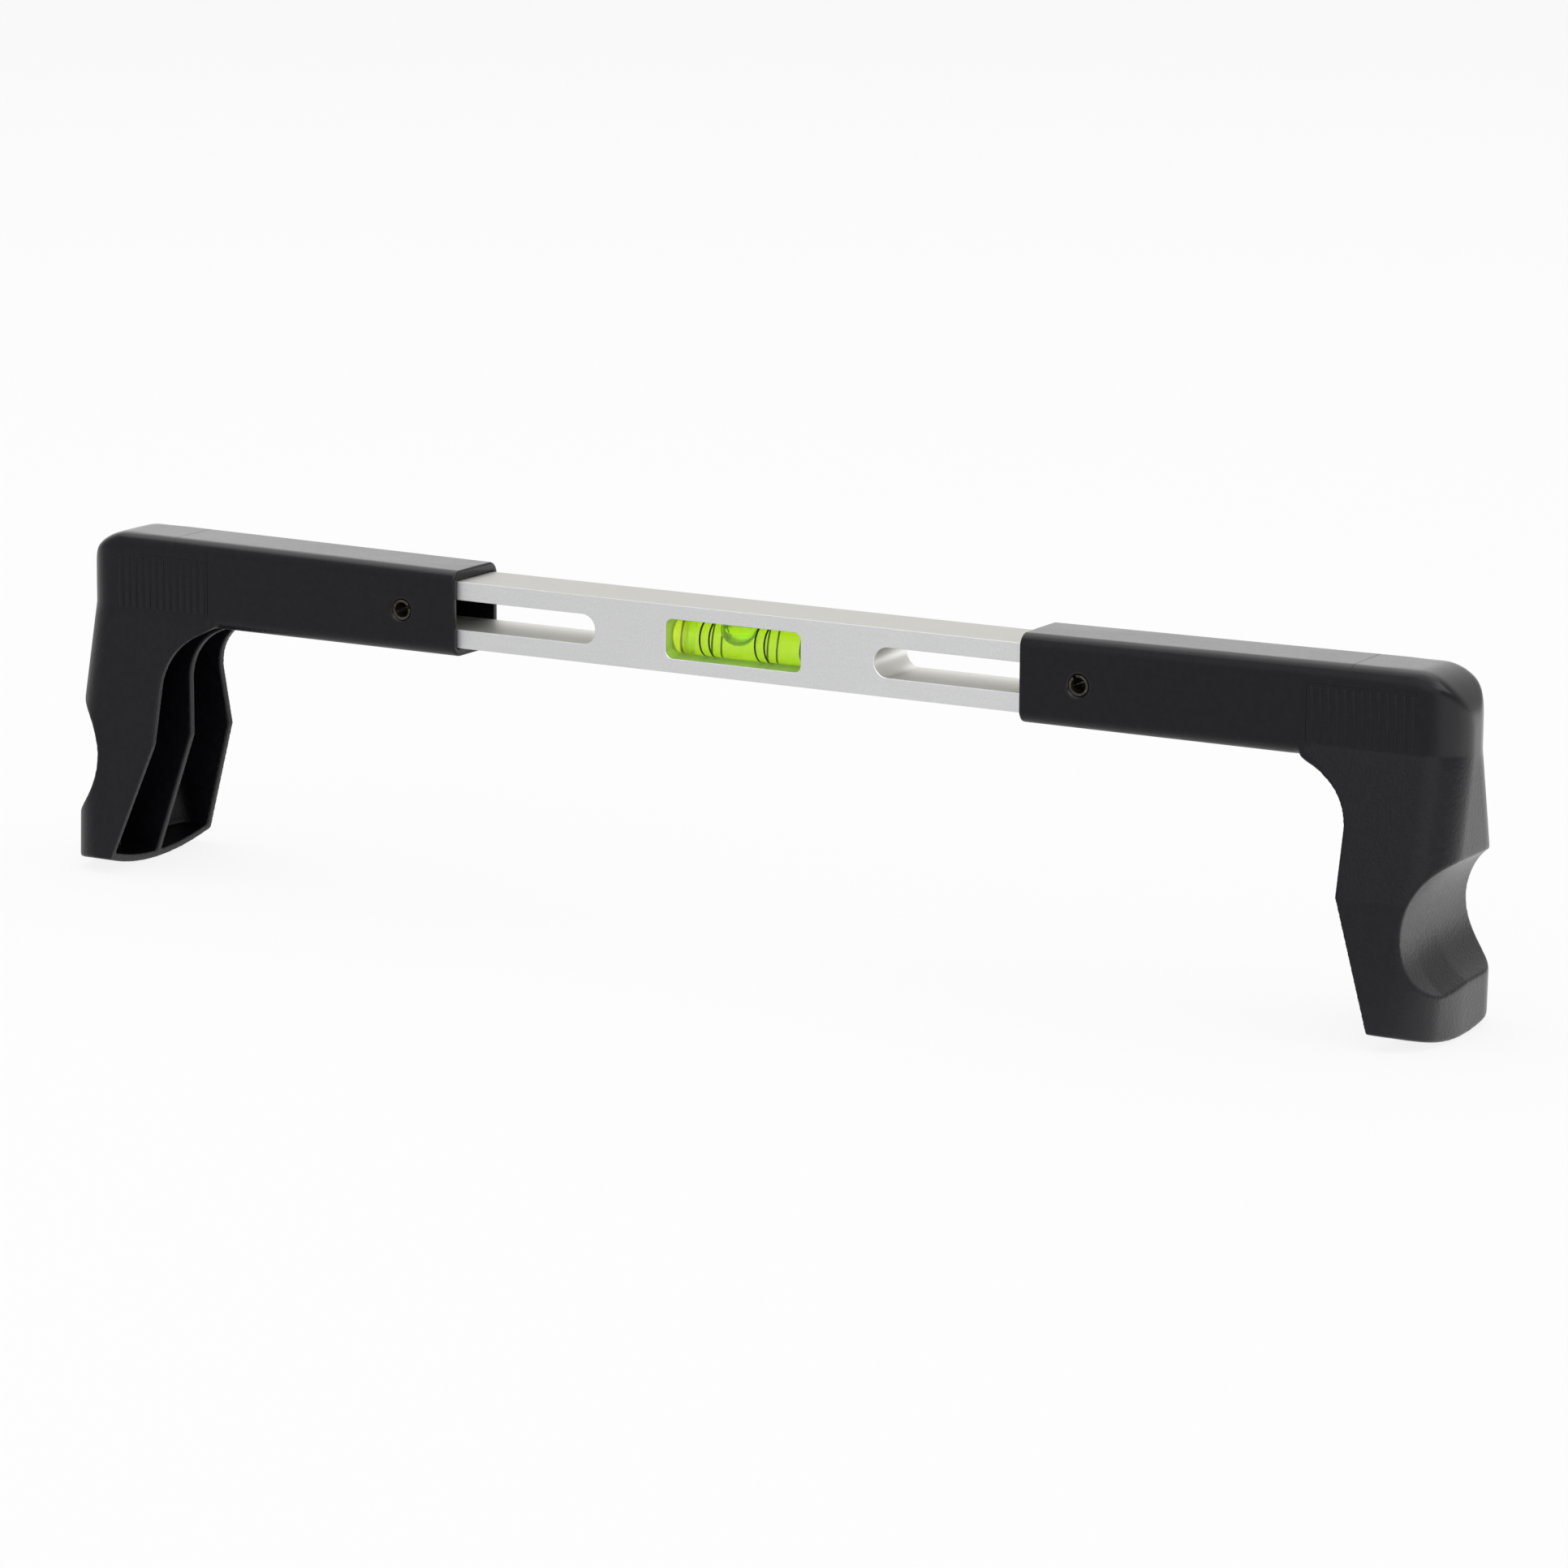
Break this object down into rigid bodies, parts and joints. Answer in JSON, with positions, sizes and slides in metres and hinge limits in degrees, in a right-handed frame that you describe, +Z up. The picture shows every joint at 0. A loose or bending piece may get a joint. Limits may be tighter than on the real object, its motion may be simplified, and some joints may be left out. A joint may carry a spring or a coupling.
{
  "type": "steering wheel level",
  "caption": "Square aluminium bar with a bubble vial in its middle and spring-loaded L-shaped arms that brace across the inside of a steering wheel.",
  "frame": {"origin": "under the middle of the bar, at the lowest point of the two legs", "axes": "+X along the bar to the right, +Y away from the viewer, +Z up"},
  "size_m": [0.4564, 0.054, 0.1028],
  "materials": {
    "bar_metal": "satin, clear anodised",
    "vial_clear": "clear, polished",
    "vial_plug": "clear, polished",
    "vial_liquid": "clear liquid",
    "ring_black": "printed line",
    "arm_plastic": "fine moulded grain",
    "pin_steel": "oil-blackened",
    "spring_steel": "drawn wire"
  },
  "bodies": {
    "bar": {"centre_bar": "bar_metal", "vial_tube": "vial_clear", "vial_plug": "vial_plug", "vial_liquid": "vial_liquid", "vial_rings": "ring_black", "left_spring": "spring_steel", "right_spring": "spring_steel"},
    "left_slider": {"left_arm": "arm_plastic", "left_pin": "pin_steel"},
    "right_slider": {"right_arm": "arm_plastic", "right_pin": "pin_steel"}
  },
  "joints": [
    {"name": "left_slide", "type": "slide", "parent": "bar", "child": "left_slider", "axis": [1, 0, 0], "range_m": [0, 0.062], "stiffness_N_per_m": 150, "springref_m": -0.04, "deforming": ["left_spring"]},
    {"name": "right_slide", "type": "slide", "parent": "bar", "child": "right_slider", "axis": [-1, 0, 0], "range_m": [0, 0.062], "stiffness_N_per_m": 150, "springref_m": -0.04, "deforming": ["right_spring"]}
  ]
}
